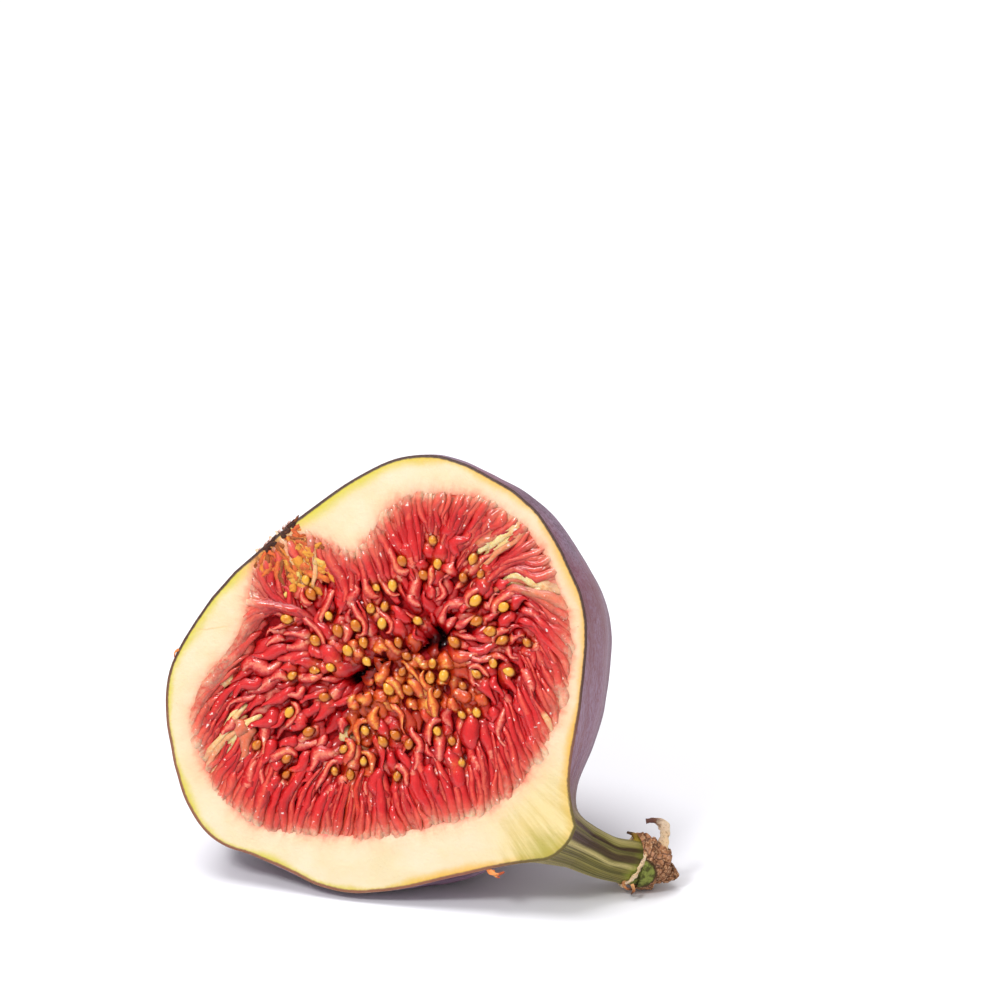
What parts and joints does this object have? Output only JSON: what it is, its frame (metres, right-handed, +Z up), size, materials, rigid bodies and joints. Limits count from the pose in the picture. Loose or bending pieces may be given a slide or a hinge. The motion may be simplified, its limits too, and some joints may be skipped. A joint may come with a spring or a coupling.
{
  "type": "fresh fig half",
  "caption": "Half of a fresh purple fig cut lengthwise, with its short stalk, showing pale flesh, red pulp and golden seeds.",
  "frame": {"origin": "middle of the underside of the object's box, on the surface it lies on", "axes": "+X to the right, along the fig's longest extent towards the stalk; +Y to the back; +Z up. The cut face looks along -Y, turned 15 degrees to the left and leaning back 20 degrees."},
  "size_m": [0.061, 0.038, 0.0501],
  "materials": {
    "skin": "plum-purple fig skin with a dull bloom, cream flesh on the cut, green stalk",
    "pulp": "wet translucent red fig pulp with golden seeds"
  },
  "bodies": {
    "root": {"receptacle": "skin", "pulp": "pulp"}
  },
  "joints": []
}
